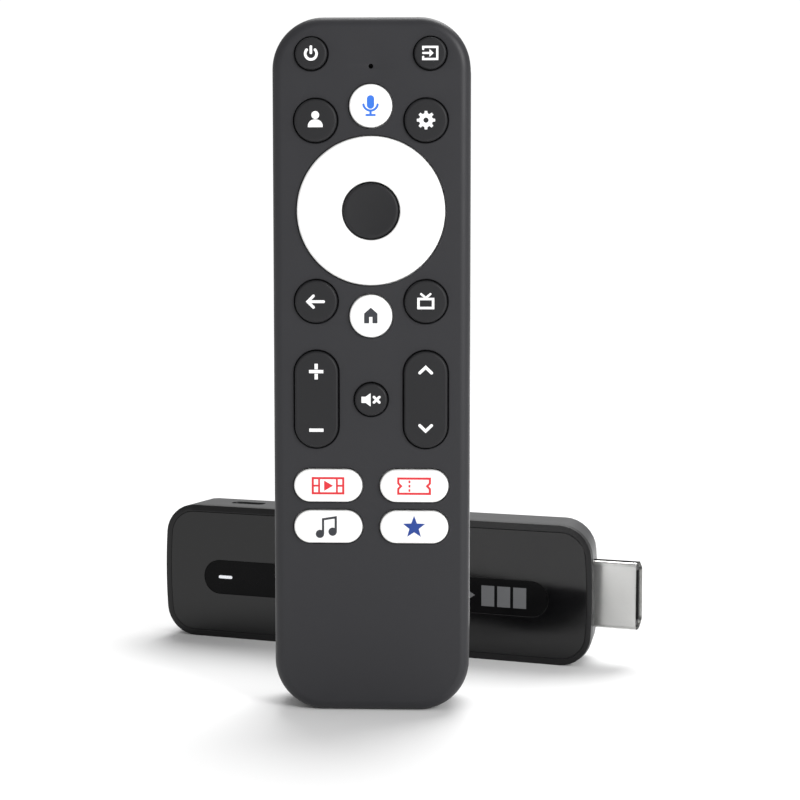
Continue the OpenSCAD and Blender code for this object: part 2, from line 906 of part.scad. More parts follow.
// Cone spring: points of ring i of a wire swept up a widening helix
spring_turns = 4;
spring_steps = 14;
spring_wire = 0.3;
spring_sides = 6;
spring_n = spring_turns * spring_steps;
function spring_mid(i) =
    let (t = i / spring_n, r = 2.2 + 1.6 * (1 - t), a = 360 * i / spring_steps)
    [r * cos(a), r * sin(a), spring_wire + t * (spring_room - 2 * spring_wire)];
function spring_ring(i) =
    let (a = 360 * i / spring_steps)
    [for (k = [0:spring_sides - 1])
        let (b = 360 * k / spring_sides)
        spring_mid(i) + spring_wire * [cos(b) * cos(a), cos(b) * sin(a), sin(b)]];

module spring_coil() {
    s = spring_sides;
    points = [for (i = [0:spring_n]) each spring_ring(i)];
    sides = [for (i = [0:spring_n - 1], k = [0:s - 1])
        let (k2 = (k + 1) % s)
        [i * s + k, i * s + k2, (i + 1) * s + k2, (i + 1) * s + k]];
    start = [for (k = [s - 1:-1:0]) k];
    end = [for (k = [0:s - 1]) spring_n * s + k];
    polyhedron(points, concat([start], sides, [end]), convexity = 6);
}

module battery_springs() {
    half = battery_d / 2 - 0.6;
    color("silver") {
        translate([-battery_x, battery_y, bay_z + plate_t])
            spring_coil();
        translate([battery_x, battery_y, bay_z + bay_l - plate_t])
            scale([1, 1, -1])
                spring_coil();
        block(-battery_x - half, -battery_x + half, battery_y - half, battery_y + half,
              bay_z, bay_z + plate_t + 0.05);
        block(battery_x - half, battery_x + half, battery_y - half, battery_y + half,
              bay_z + bay_l - plate_t - 0.05, bay_z + bay_l);
    }
}

module battery_plates() {
    half = battery_d / 2 - 0.6;
    color("silver") {
        block(-battery_x - half, -battery_x + half, battery_y - half, battery_y + half,
              bay_z + bay_l - plate_t, bay_z + bay_l);
        block(battery_x - half, battery_x + half, battery_y - half, battery_y + half,
              bay_z, bay_z + plate_t);
    }
}

// ---------- keys ----------

module round_key(at, r) {
    bevel = 0.3;
    translate([at[0], 0, at[1]])
        rotate([-90, 0, 0]) {
            translate([0, 0, -key_proud])
                cylinder(h = bevel, r1 = r - bevel, r2 = r);
            translate([0, 0, bevel - key_proud])
                cylinder(h = flange_y + flange_t - bevel + key_proud, r = r);
            translate([0, 0, flange_y])
                cylinder(h = flange_t, r = r + flange_w);
            translate([0, 0, flange_y])
                cylinder(h = stem_end - flange_y, r = stem_r);
        }
}

// Long key: a bevelled cap, a flange below the face, and the stems at the places in stems
module long_key(at, w, h, y_flange, stems, foot) {
    bevel = 0.3;
    translate(at_zero(at)) {
        loft([key_points(w - 2 * bevel, h - 2 * bevel), key_points(w, h), key_points(w, h)],
             [-key_proud, bevel - key_proud, y_flange + 0.2]);
        slab(y_flange, y_flange + flange_t)
            polygon(key_points(w + 2 * flange_w, h + 2 * flange_w));
        for (p = stems)
            peg(p, stem_r, y_flange, foot);
    }
}

module rocker(at) {
    stems = [for (side = [-1, 1]) [0, side * rocker_stem_z]];
    long_key(at, rocker_w, rocker_h, tilt_flange_y, stems, rboard_y - dome_t - 0.45);
}

module shortcut(i) {
    long_key(shortcut_at[i], shortcut_w, shortcut_h, flange_y, [[0, 0]], stem_end);
}

module ring_section() {
    top = -key_proud;
    low = tilt_flange_y + flange_t;
    dish = 0.35;
    polygon([
        [ring_hole_r, low], [ring_hole_r, top + dish + 0.2], [ring_hole_r + 0.2, top + dish],
        [(ring_r + ring_hole_r) / 2, top + dish * 0.55],
        [ring_r - 1.6, top], [ring_r - ring_edge_r, top], [ring_r, top + ring_edge_r],
        [ring_r, tilt_flange_y], [ring_r + ring_flange_w, tilt_flange_y],
        [ring_r + ring_flange_w, low]
    ]);
}

module direction_ring() {
    color("white")
        translate(at_zero(select_at))
            rotate([-90, 0, 0])
                rotate_extrude()
                    ring_section();
}

module ring_rubber_pad() {
    color("gray")
        difference() {
            union() {
                peg(select_at, ring_r - 1.2, pad_y, pad_y + pad_sheet);
                for (a = [0:90:270])
                    peg(select_at + 10 * [cos(a), sin(a)], stem_r, pad_y, rboard_y - dome_t - 0.4);
            }
            peg(select_at, select_r + 0.8, 0, rboard_y);
        }
}

module select_key() {
    bevel = 0.3;
    collar_y = tilt_flange_y + flange_t + 0.3;
    color([0.23, 0.23, 0.24])
        translate(at_zero(select_at))
            rotate([-90, 0, 0]) {
                translate([0, 0, 0.3 - key_proud])
                    cylinder(h = bevel, r1 = select_r - bevel, r2 = select_r);
                translate([0, 0, 0.3 + bevel - key_proud])
                    cylinder(h = collar_y + 0.45 - 0.3 - bevel + key_proud, r = select_r);
                translate([0, 0, collar_y])
                    cylinder(h = 0.45, r = select_r + 0.5);
                translate([0, 0, collar_y])
                    cylinder(h = stem_end - collar_y, r = stem_r);
            }
}

module dark_key(at, r) {
    color([0.2, 0.2, 0.2]) round_key(at, r);
}

module white_key(at, r) {
    color("white") round_key(at, r);
}

module dark_rocker(at) {
    color([0.2, 0.2, 0.2]) rocker(at);
}

module white_shortcut(i) {
    color("white") shortcut(i);
}

// ---------- nodes ----------

in_stick() stick_housing();
in_stick() stick_front_cover();
in_stick() stick_front_panel();
in_stick() stick_strip();
in_stick() stick_light_pipe();
in_stick() stick_circuit_board();
in_stick() stick_light();
in_stick() hdmi_plug_shell();
in_stick() hdmi_plug_insulator();
in_stick() hdmi_plug_contacts();
in_stick() power_socket_shell();
in_stick() power_socket_tongue();
in_stick() stick_processor();
in_stick() stick_memory_chips();
in_stick() stick_flash_chip();
in_stick() stick_shield_can();
in_stick() stick_thermal_pad();
in_stick() stick_heat_spreader();
in_stick() stick_wireless_module();
in_stick() stick_antennas();
in_stick() stick_power_parts();
in_stick() stick_screws();
in_stick() reset_switch();
in_stick() reset_button();
in_remote() remote_face_shell();
in_remote() remote_back_shell();
in_remote() battery_cover();
in_remote() key_membrane();
in_remote() remote_circuit_board();
in_remote() remote_chips();
in_remote() remote_contact_domes();
in_remote() remote_screws();
in_remote() microphone();
in_remote() infrared_emitter();
in_remote() infrared_window();
in_remote() battery_left();
in_remote() battery_right();
in_remote() battery_springs();
in_remote() battery_plates();
in_remote() dark_key(power_at, small_key_r);  // power_key
in_remote() dark_key(input_at, small_key_r);  // input_key
in_remote() white_key(voice_at, key_r);  // voice_key
in_remote() dark_key(account_at, key_r);  // account_key
in_remote() dark_key(settings_at, key_r);  // settings_key
in_remote() direction_ring();
in_remote() ring_rubber_pad();
in_remote() select_key();
in_remote() dark_key(back_at, key_r);  // back_key
in_remote() white_key(home_at, key_r);  // home_key
in_remote() dark_key(guide_at, key_r);  // guide_key
in_remote() dark_rocker(volume_at);  // volume_rocker
in_remote() dark_rocker(channel_at);  // channel_rocker
in_remote() dark_key(mute_at, mute_r);  // mute_key
in_remote() white_shortcut(0);  // shortcut_key_1
in_remote() white_shortcut(1);  // shortcut_key_2
in_remote() white_shortcut(2);  // shortcut_key_3
in_remote() white_shortcut(3);  // shortcut_key_4
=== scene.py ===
import bpy, bmesh, json, math
from mathutils import Matrix, Vector


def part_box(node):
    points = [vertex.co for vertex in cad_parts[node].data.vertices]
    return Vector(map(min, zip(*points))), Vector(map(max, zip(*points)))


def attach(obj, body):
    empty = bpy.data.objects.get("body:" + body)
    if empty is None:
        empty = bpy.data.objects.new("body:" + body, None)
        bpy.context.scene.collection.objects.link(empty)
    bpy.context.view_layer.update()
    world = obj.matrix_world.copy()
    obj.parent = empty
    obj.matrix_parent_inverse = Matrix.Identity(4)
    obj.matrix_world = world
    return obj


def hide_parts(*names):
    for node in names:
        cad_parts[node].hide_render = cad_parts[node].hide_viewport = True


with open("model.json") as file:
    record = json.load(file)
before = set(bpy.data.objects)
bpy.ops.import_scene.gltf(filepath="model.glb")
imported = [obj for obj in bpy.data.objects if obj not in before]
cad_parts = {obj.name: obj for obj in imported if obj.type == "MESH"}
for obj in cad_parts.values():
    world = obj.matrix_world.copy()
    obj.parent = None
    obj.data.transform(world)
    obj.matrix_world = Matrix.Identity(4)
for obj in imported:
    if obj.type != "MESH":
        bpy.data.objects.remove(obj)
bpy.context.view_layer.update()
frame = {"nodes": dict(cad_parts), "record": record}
scene = bpy.context.scene
nodes = frame["nodes"]
record = frame["record"]
mm = 0.001
print("frame loaded")


# Lowest and highest corner of a node in the frame, in millimetres
def nodeBox(node):
    low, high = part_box(node)
    return Vector(low) / mm, Vector(high) / mm


plugAxis = Vector(next(m["axis"] for m in record["mounts"] if m["name"] == "video_plug"))
stickHeight = nodeBox("stick_housing")[1].z
stickPlace = Matrix((
    (plugAxis.x, -plugAxis.y, 0, 0),
    (plugAxis.y, plugAxis.x, 0, 0),
    (0, 0, 1, stickHeight / 2),
    (0, 0, 0, 1),
))
faceLow, faceHigh = nodeBox("remote_face_shell")
backHigh = nodeBox("remote_back_shell")[1]
remoteW = faceHigh.x - faceLow.x
remoteL = faceHigh.z
remoteT = backHigh.y - faceLow.y
remotePlace = Matrix.Translation(((faceLow.x + faceHigh.x) / 2, faceLow.y, 0))


# Lowest and highest corner of a node in a piece's own axes
def localBox(node, place):
    back = place.inverted()
    points = [back @ (v.co / mm) for v in nodes[node].data.vertices]
    return [Vector([pick(p[i] for p in points) for i in range(3)]) for pick in (min, max)]


# Linear colour of an sRGB hex code
def srgb(code):
    parts = [int(code[i:i + 2], 16) / 255 for i in (0, 2, 4)]
    return [p / 12.92 if p <= 0.04045 else ((p + 0.055) / 1.055) ** 2.4 for p in parts] + [1.0]


def addNode(tree, kind, settings, **links):
    node = tree.nodes.new(kind)
    for name, value in settings.items():
        if isinstance(name, int) or name in node.inputs:
            node.inputs[name].default_value = value
        else:
            setattr(node, name, value)
    for name, source in links.items():
        tree.links.new(source, node.inputs[name.replace("_", " ")])
    return node


# A surface with a fine grain, a slow change of tone and a slow change of gloss.
# grain is the size in mm of the surface's texture, depth its height in mm.
def surface(name, tone, rough, grain=0.3, depth=0.004, mottle=0.06, patch=9.0, spread=0.05,
            **shader):
    material = bpy.data.materials.new(name)
    material.use_nodes = True
    tree = material.node_tree
    tree.nodes.clear()
    place = addNode(tree, "ShaderNodeTexCoord", {})
    fine = addNode(tree, "ShaderNodeTexNoise", {"Scale": 1 / (grain * mm), "Detail": 3.0, "Roughness": 0.6},
                   Vector=place.outputs["Object"])
    slow = addNode(tree, "ShaderNodeTexNoise", {"Scale": 1 / (patch * mm), "Detail": 2.0},
                   Vector=place.outputs["Object"])
    base = srgb(tone)
    darker = [c * (1 - mottle) for c in base[:3]] + [1]
    lighter = [min(1, c * (1 + mottle)) for c in base[:3]] + [1]
    mix = addNode(tree, "ShaderNodeMix", {"data_type": "RGBA", 6: darker, 7: lighter})
    tree.links.new(slow.outputs["Fac"], mix.inputs[0])
    gloss = addNode(tree, "ShaderNodeMapRange",
                    {"From Min": 0.3, "From Max": 0.7,
                     "To Min": max(0.02, rough - spread), "To Max": rough + spread},
                    Value=slow.outputs["Fac"])
    bump = addNode(tree, "ShaderNodeBump", {"Strength": 1.0, "Distance": depth * mm},
                   Height=fine.outputs["Fac"])
    principled = addNode(tree, "ShaderNodeBsdfPrincipled", shader,
                         Base_Color=mix.outputs[2], Roughness=gloss.outputs["Result"],
                         Normal=bump.outputs["Normal"])
    addNode(tree, "ShaderNodeOutputMaterial", {}, Surface=principled.outputs["BSDF"])
    return material


# ABS moulded in a spark-eroded mould: a dry, even, dark grey with a soft sheen
remoteAbs = surface("texturedAbsDarkGrey", "27272a", 0.48, grain=0.35, depth=0.006,
                    **{"Specular IOR Level": 0.34})
# Silicone-painted keys: a little darker and drier than the shell round them
keyAbs = surface("softTouchKeyCharcoal", "1e1e20", 0.5, grain=0.3, depth=0.004,
                 **{"Specular IOR Level": 0.28})
# White keys in satin ABS: bright, with a soft wide highlight
whiteAbs = surface("satinAbsWhite", "f8f8f7", 0.38, grain=0.4, depth=0.002, mottle=0.005)
# The stick's housing, moulded PC-ABS: black, satin, bright only at grazing angles
housingAbs = surface("satinPcAbsBlack", "1e1f21", 0.4, grain=0.35, depth=0.005, IOR=1.52)
# The cover's rim comes from a finer mould, so its chamfer draws a smooth line of light
rimAbs = surface("fineSatinAbsBlack", "0f0f10", 0.34, grain=0.25, depth=0.002,
                 **{"Specular IOR Level": 0.3})
# Polished acrylic: a deep black mirror with very slight moulding waves
glossAcrylic = surface("polishedAcrylicBlack", "050506", 0.13, grain=14.0, depth=0.002, spread=0.01,
                       **{"Specular IOR Level": 0.4})
# Screen-printed acrylic strip: satin black, a shade lighter than the panel's depth
stripAcrylic = surface("printedAcrylicStrip", "070708", 0.3, grain=0.3, depth=0.002,
                       **{"Specular IOR Level": 0.08})
# Printed marks: dry ink on plastic
inkWhite = surface("printedInkWhite", "f4f4f4", 0.55, grain=0.2, depth=0.001, mottle=0.01)
inkGrey = surface("printedInkGrey", "5b5c5e", 0.5, grain=0.2, depth=0.001, mottle=0.02)
inkDark = surface("printedInkCharcoal", "2b2d33", 0.55, grain=0.2, depth=0.001, mottle=0.02)
inkBlue = surface("printedInkBlue", "2a6fd6", 0.55, grain=0.2, depth=0.001, mottle=0.02)
inkRed = surface("printedInkRed", "d8232f", 0.55, grain=0.2, depth=0.001, mottle=0.02)
inkNavy = surface("printedInkNavy", "123a8c", 0.55, grain=0.2, depth=0.001, mottle=0.02)
# Nickel-plated steel sheet, bent: a cool grey metal with a soft drawn sheen
nickelSteel = surface("nickelPlatedSteel", "efefed", 0.3, grain=0.6, depth=0.0005, mottle=0.01,
                      spread=0.01, Metallic=1.0)
# Gold flash on phosphor bronze
goldPlate = surface("goldFlashContact", "d9b25f", 0.25, grain=0.4, depth=0.001, Metallic=1.0)
# Rolled aluminium sheet
rolledAlloy = surface("rolledAluminium", "c4c6c8", 0.35, grain=0.6, depth=0.001, Metallic=1.0)
# Glossy green solder mask over copper
solderMask = surface("solderMaskGreen", "0d4a24", 0.28, grain=1.2, depth=0.006, mottle=0.15, patch=4.0)
# Transfer-moulded epoxy chip body: charcoal, finely sanded
chipEpoxy = surface("chipEpoxyBlack", "1b1c1d", 0.6, grain=0.15, depth=0.004)
# Silicone keypad mat and pads: translucent grey rubber, very matte
siliconeGrey = surface("siliconeRubberGrey", "54565a", 0.62, grain=0.5, depth=0.004)
siliconeBlue = surface("siliconePadBlue", "8fb3cc", 0.7, grain=0.6, depth=0.006)
# Glass-filled nylon in the plug and socket
nylonBlack = surface("glassFilledNylonBlack", "101011", 0.55, grain=0.3, depth=0.004)
# Frosted light guide and clear epoxy
frostedAcrylic = surface("frostedAcrylicWhite", "e6e8ea", 0.45, grain=0.3, depth=0.002, mottle=0.01,
                         **{"Emission Color": srgb("f4f7ff"), "Emission Strength": 0.35})
clearEpoxy = surface("clearEpoxyLamp", "d8d2b4", 0.2, grain=0.8, depth=0.001)
# Polycarbonate that looks black and passes infrared light
infraredPc = surface("infraredPolycarbonate", "1a0a10", 0.1, grain=6.0, depth=0.003, spread=0.02,
                     IOR=1.58)
# Printed film shrunk on to the cells
cellFilm = surface("printedCellFilm", "2a2c30", 0.3, grain=2.0, depth=0.003)

slotFinish = {
    "dark_plastic": remoteAbs, "black_plastic": housingAbs, "gloss_panel": glossAcrylic,
    "strip_plastic": stripAcrylic, "white_plastic": whiteAbs, "key_plastic": keyAbs,
    "diffuser": frostedAcrylic, "board": solderMask, "chip_black": chipEpoxy,
    "tin_steel": nickelSteel, "alloy": rolledAlloy, "gold_plate": goldPlate,
    "insulator": nylonBlack, "silicone_blue": siliconeBlue, "silicone_grey": siliconeGrey,
    "led_epoxy": clearEpoxy, "ir_plastic": infraredPc, "cell_jacket": cellFilm,
}
slotOf = {row["node"]: row["material_slot"] for row in record["subparts"]}
bodyOf = {node: body for body, held in record["behaviour"]["bodies"].items() for node in held}
for name, piece in nodes.items():
    piece.data.materials.clear()
    piece.data.materials.append(slotFinish[slotOf[name]])
print("finishes made")


def roundRect(w, h, r, n=16):
    points = []
    for k in range(4):
        cx = (w / 2 - r) * (1 if k in (0, 3) else -1)
        cz = (h / 2 - r) * (1 if k < 2 else -1)
        for i in range(n + 1):
            a = math.pi / 2 * (k + i / n)
            points.append((cx + r * math.cos(a), cz + r * math.sin(a)))
    return points


def circle(at, r, n=64):
    return [(at[0] + r * math.cos(2 * math.pi * i / n), at[1] + r * math.sin(2 * math.pi * i / n))
            for i in range(n)]


# Slot shape with round ends, along its longer side
def slotShape(at, w, h, n=24):
    d, reach = min(w, h), abs(w - h) / 2
    points = []
    for k in (0, 1):
        for i in range(n + 1):
            a = math.pi * (k + i / n) - math.pi / 2
            end = reach if k == 0 else -reach
            x, z = end + d / 2 * math.cos(a), d / 2 * math.sin(a)
            points.append((at[0] + x, at[1] + z) if w >= h else (at[0] - z, at[1] + x))
    return points


def shiftLoop(loop, dx, dz):
    return [(x + dx, z + dz) for x, z in loop]


# Quads from each ring of vertices to the next; rings have one number of vertices
def joinRings(bm, rings):
    for a, b in zip(rings, rings[1:]):
        for i in range(len(a)):
            j = (i + 1) % len(a)
            bm.faces.new((a[i], b[i], b[j], a[j]))


# A skin over loops that lie at given depths
def addSkin(bm, loops, depths, closeFront=False, closeBack=False):
    rings = [[bm.verts.new((x, y, z)) for x, z in loop] for loop, y in zip(loops, depths)]
    joinRings(bm, rings)
    if closeFront:
        bm.faces.new(rings[0])
    if closeBack:
        bm.faces.new(rings[-1][::-1])


# A flat plate at one depth, with holes, as triangles on the loops' own points
def addPlate(bm, outer, holes, depth):
    curve = bpy.data.curves.new("plateOutline", "CURVE")
    curve.dimensions, curve.fill_mode = "2D", "FRONT"
    for loop in [outer] + holes:
        spline = curve.splines.new("POLY")
        spline.points.add(len(loop) - 1)
        spline.use_cyclic_u = True
        for point, (x, z) in zip(spline.points, loop):
            point.co = (x, z, 0, 1)
    outline = bpy.data.objects.new("plateOutline", curve)
    scene.collection.objects.link(outline)
    flat = bpy.data.meshes.new_from_object(outline.evaluated_get(bpy.context.evaluated_depsgraph_get()))
    made = [bm.verts.new((v.co.x, depth, v.co.y)) for v in flat.vertices]
    for face in flat.polygons:
        bm.faces.new([made[i] for i in face.vertices])
    bpy.data.objects.remove(outline)
    bpy.data.curves.remove(curve)
    bpy.data.meshes.remove(flat)


# Turns a bmesh in millimetres into a finished piece at its place in the frame
def finishPiece(bm, name, finish, body, place, crease=35, weld=0.0005, replaced=()):
    bmesh.ops.remove_doubles(bm, verts=bm.verts, dist=weld)
    bmesh.ops.recalc_face_normals(bm, faces=bm.faces)
    limit = math.radians(crease)
    for face in bm.faces:
        face.smooth = True
    for edge in bm.edges:
        edge.smooth = len(edge.link_faces) == 2 and edge.calc_face_angle(0) < limit
    bm.transform(Matrix.Scale(mm, 4) @ place)
    mesh = bpy.data.meshes.new(name)
    bm.to_mesh(mesh)
    bm.free()
    mesh.materials.append(finish)
    piece = bpy.data.objects.new(name, mesh)
    scene.collection.objects.link(piece)
    # flat areas keep their own normal, so round edges beside them shade smoothly
    weigh = piece.modifiers.new("flatFacesLead", "WEIGHTED_NORMAL")
    weigh.keep_sharp, weigh.weight = True, 80
    shaded = bpy.data.meshes.new_from_object(piece.evaluated_get(bpy.context.evaluated_depsgraph_get()))
    piece.modifiers.clear()
    piece.data = shaded
    bpy.data.meshes.remove(mesh)
    shaded.name = name
    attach(piece, body)
    if replaced:
        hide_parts(*replaced)
    return piece


# A CAD node's own shape, welded, with its hard edges broken by a small round
def dressNode(node, name, edge=0.15, finish=None, crease=32):
    bm = bmesh.new()
    bm.from_mesh(nodes[node].data)
    bmesh.ops.scale(bm, vec=(1 / mm,) * 3, verts=bm.verts)
    bmesh.ops.remove_doubles(bm, verts=bm.verts, dist=0.004)
    bmesh.ops.dissolve_limit(bm, angle_limit=math.radians(0.4), verts=bm.verts, edges=bm.edges)
    if edge:
        hard = [e for e in bm.edges if len(e.link_faces) == 2 and e.calc_face_angle(0) > math.radians(50)
                and e.is_convex]
        bmesh.ops.bevel(bm, geom=hard, offset=edge, segments=3, profile=0.5, affect="EDGES",
                        clamp_overlap=True)
    return finishPiece(bm, name, finish or slotFinish[slotOf[node]], bodyOf[node], Matrix.Identity(4),
                       crease=crease, replaced=(node,))


# A turned form: profile is a list of (radius, depth), from the front's middle to the back's
def turnProfile(bm, profile, at, n=72):
    loops = [circle(at, max(r, 0.001), n) for r, y in profile]
    addSkin(bm, loops, [y for r, y in profile], closeFront=profile[0][0] > 0.001,
            closeBack=profile[-1][0] > 0.001)


# Quarter round from a flat front at depth y to a side at radius r
def roundedEdge(r, y, edge, steps=8):
    return [(r - edge * (1 - math.sin(a)), y + edge * (1 - math.cos(a)))
            for a in (math.pi / 2 * i / steps for i in range(steps + 1))]


keyForm = {"edge": 0.45, "flange": 0.6, "flangeThick": 0.55, "gap": 0.2, "holeEdge": 0.18, "wall": 1.5,
           "room": 0.1, "rockRoom": 0.55, "stem": 1.7, "stemApart": 6}
roundKeys = {
    "power_key": keyAbs, "input_key": keyAbs, "voice_key": whiteAbs, "account_key": keyAbs,
    "settings_key": keyAbs, "back_key": keyAbs, "guide_key": keyAbs, "home_key": whiteAbs,
    "mute_key": keyAbs,
}
longKeys = {
    "volume_rocker": keyAbs, "channel_rocker": keyAbs, "shortcut_key_1": whiteAbs,
    "shortcut_key_2": whiteAbs, "shortcut_key_3": whiteAbs, "shortcut_key_4": whiteAbs,
}
keyPlace = {}  # where each key's middle is, and the depth of its top, in the remote's own axes
for node in list(roundKeys) + list(longKeys) + ["select_key", "direction_ring"]:
    low, high = localBox(node, remotePlace)
    keyPlace[node] = {"at": ((low.x + high.x) / 2, (low.z + high.z) / 2), "top": low.y, "foot": high.y,
                      "w": high.x - low.x - 2 * keyForm["flange"],
                      "h": high.z - low.z - 2 * keyForm["flange"]}

for node, finish in roundKeys.items():
    key = keyPlace[node]
    r, top, edge = key["w"] / 2, key["top"], keyForm["edge"]
    flangeTop = keyForm["wall"] + keyForm["room"]
    flangeFoot = flangeTop + keyForm["flangeThick"]
    profile = [(0.0, top), (r - edge - 0.6, top)] + roundedEdge(r, top, edge)
    profile += [(r, flangeTop), (r + keyForm["flange"], flangeTop), (r + keyForm["flange"], flangeFoot),
                (keyForm["stem"], flangeFoot), (keyForm["stem"], key["foot"]), (0.0, key["foot"])]
    bm = bmesh.new()
    turnProfile(bm, profile, key["at"])
    finishPiece(bm, node.replace("_key", "KeyCap"), finish, bodyOf[node], remotePlace,
                replaced=(node,))

for node, finish in longKeys.items():
    key = keyPlace[node]
    w, h, top, edge = key["w"], key["h"], key["top"], keyForm["edge"]
    rocks = "rocker" in node
    flangeTop = keyForm["wall"] + keyForm["rockRoom" if rocks else "room"]
    flangeFoot = flangeTop + keyForm["flangeThick"]
    steps = [math.pi / 2 * i / 8 for i in range(9)]
    loops = [slotShape(key["at"], w - 2 * edge * (1 - math.sin(a)), h - 2 * edge * (1 - math.sin(a)))
             for a in steps]
    depths = [top + edge * (1 - math.cos(a)) for a in steps]
    grow = 2 * keyForm["flange"]
    loops += [slotShape(key["at"], w, h)] + [slotShape(key["at"], w + grow, h + grow)] * 2
    depths += [flangeTop, flangeTop, flangeFoot]
    bm = bmesh.new()
    addSkin(bm, loops, depths, closeFront=True, closeBack=True)
    for side in ((-1, 1) if rocks else (0,)):
        at = (key["at"][0], key["at"][1] + keyForm["stemApart"] * side)
        turnProfile(bm, [(keyForm["stem"], flangeFoot - 0.2), (keyForm["stem"], key["foot"])], at, 32)
    name = node.replace("_rocker", "RockerCap").replace("shortcut_key_", "shortcutKeyCap")
    finishPiece(bm, name, finish, bodyOf[node], remotePlace, replaced=(node,))

# The direction ring: a shallow dish towards the select key
ring = {"at": keyPlace["select_key"]["at"], "outer": 14.4, "inner": 5.65, "lip": 0.6, "dish": 0.3,
        "innerLip": 0.4, "flange": 0.4, "flangeTop": 2.05,
        "top": keyPlace["direction_ring"]["top"], "foot": keyPlace["direction_ring"]["foot"]}
bm = bmesh.new()
profile = [(ring["inner"], ring["foot"])]
profile += [(ring["inner"] + ring["innerLip"] * (1 - math.cos(a)),
             ring["top"] + ring["dish"] + ring["innerLip"] * (1 - math.sin(a)))
            for a in (math.pi / 2 * i / 6 for i in range(7))]
dishStart = ring["inner"] + ring["innerLip"]
for i in range(1, 11):
    t = i / 10
    r = dishStart + (ring["outer"] - 2 * ring["lip"] - dishStart) * t
    profile.append((r, ring["top"] + ring["dish"] * (0.5 + 0.5 * math.cos(math.pi * t))))
profile += roundedEdge(ring["outer"], ring["top"], ring["lip"], 10)
flangeR = ring["outer"] + ring["flange"]
profile += [(ring["outer"], ring["flangeTop"]), (flangeR, ring["flangeTop"]), (flangeR, ring["foot"])]
loops = [circle(ring["at"], r, 128) for r, y in profile]
addSkin(bm, loops + [loops[0]], [y for r, y in profile] + [profile[0][1]])
finishPiece(bm, "directionRingCap", whiteAbs, "direction_ring", remotePlace,
            replaced=("direction_ring",))

# The select key: dished like a fingertip
select = {"r": ring["inner"] - 0.25, "edge": 0.5, "dish": 0.28, "flange": 0.5, "flangeTop": 2.9,
          "flangeFoot": 3.35, **{part: keyPlace["select_key"][part] for part in ("at", "top", "foot")}}
bm = bmesh.new()
profile = [(0.0, select["top"] + select["dish"])]
for i in range(1, 13):
    t = i / 12
    profile.append(((select["r"] - select["edge"]) * t, select["top"] + select["dish"] * (1 - t * t)))
profile += roundedEdge(select["r"], select["top"], select["edge"])
flangeR = select["r"] + select["flange"]
profile += [(select["r"], select["flangeTop"]), (flangeR, select["flangeTop"]),
            (flangeR, select["flangeFoot"]), (keyForm["stem"], select["flangeFoot"]),
            (keyForm["stem"], select["foot"]), (0.0, select["foot"])]
turnProfile(bm, profile, select["at"], 96)
finishPiece(bm, "selectKeyCap", keyAbs, "select_key", remotePlace,
            replaced=("select_key",))
print("keys made")

shell = {"corner": 10.0, "edge": 2.0, "wall": keyForm["wall"], "depth": faceHigh.y - faceLow.y,
         "seam": 0.2, "undercut": 0.7, "fillet": 14}
microphoneHole = {"r": 0.45, "edge": 0.1, "points": 32}


def remoteLoop(inset):
    return shiftLoop(roundRect(remoteW - 2 * inset, remoteL - 2 * inset, shell["corner"] - inset, 20),
                     0, remoteL / 2)


def keyHoles(grow):
    holes = [circle(keyPlace[node]["at"], keyPlace[node]["w"] / 2 + grow) for node in roundKeys]
    for key in (keyPlace[node] for node in longKeys):
        holes.append(slotShape(key["at"], key["w"] + 2 * grow, key["h"] + 2 * grow))
    holes.append(circle(ring["at"], ring["outer"] + grow, 128))
    return holes


low, high = localBox("microphone", remotePlace)
microphoneAt = ((low.x + high.x) / 2, (low.z + high.z) / 2)
gap, chamfer = keyForm["gap"], keyForm["holeEdge"]
bm = bmesh.new()
steps = [math.pi / 2 * i / shell["fillet"] for i in range(shell["fillet"] + 1)]
outerLoops = [remoteLoop(shell["edge"] * (1 - math.sin(a))) for a in steps]
outerDepths = [shell["edge"] * (1 - math.cos(a)) for a in steps]
innerCorner = shell["wall"] + shell["undercut"]
outerLoops += [remoteLoop(inset) for inset in (0, shell["seam"], shell["wall"], shell["wall"], innerCorner)]
outerDepths += [shell["depth"] - shell["seam"], shell["depth"], shell["depth"], innerCorner, shell["wall"]]
addSkin(bm, outerLoops, outerDepths)
frontHoles = keyHoles(gap + chamfer)
holeR, holePoints = microphoneHole["r"], microphoneHole["points"]
brokenEdges = [chamfer] * len(frontHoles) + [microphoneHole["edge"]]
frontHoles.append(circle(microphoneAt, holeR + microphoneHole["edge"], holePoints))
backHoles = keyHoles(gap) + [circle(microphoneAt, holeR, holePoints)]
addPlate(bm, outerLoops[0], frontHoles, 0)
addPlate(bm, outerLoops[-1], backHoles, shell["wall"])
steps = [i / 4 * math.pi / 2 for i in range(5)]
for front, back, broken in zip(frontHoles, backHoles, brokenEdges):
    curve = []
    for a in steps:
        out = 1 - math.sin(a)
        curve.append([(b[0] + (f[0] - b[0]) * out, b[1] + (f[1] - b[1]) * out)
                      for f, b in zip(front, back)])
    addSkin(bm, curve + [back], [broken * (1 - math.cos(a)) for a in steps] + [shell["wall"]])
finishPiece(bm, "remoteFaceShell", remoteAbs, "remote", remotePlace,
            replaced=("remote_face_shell",))
dressNode("remote_back_shell", "remoteBackShell", edge=0.2)
dressNode("battery_cover", "batteryCoverPanel", edge=0.2)

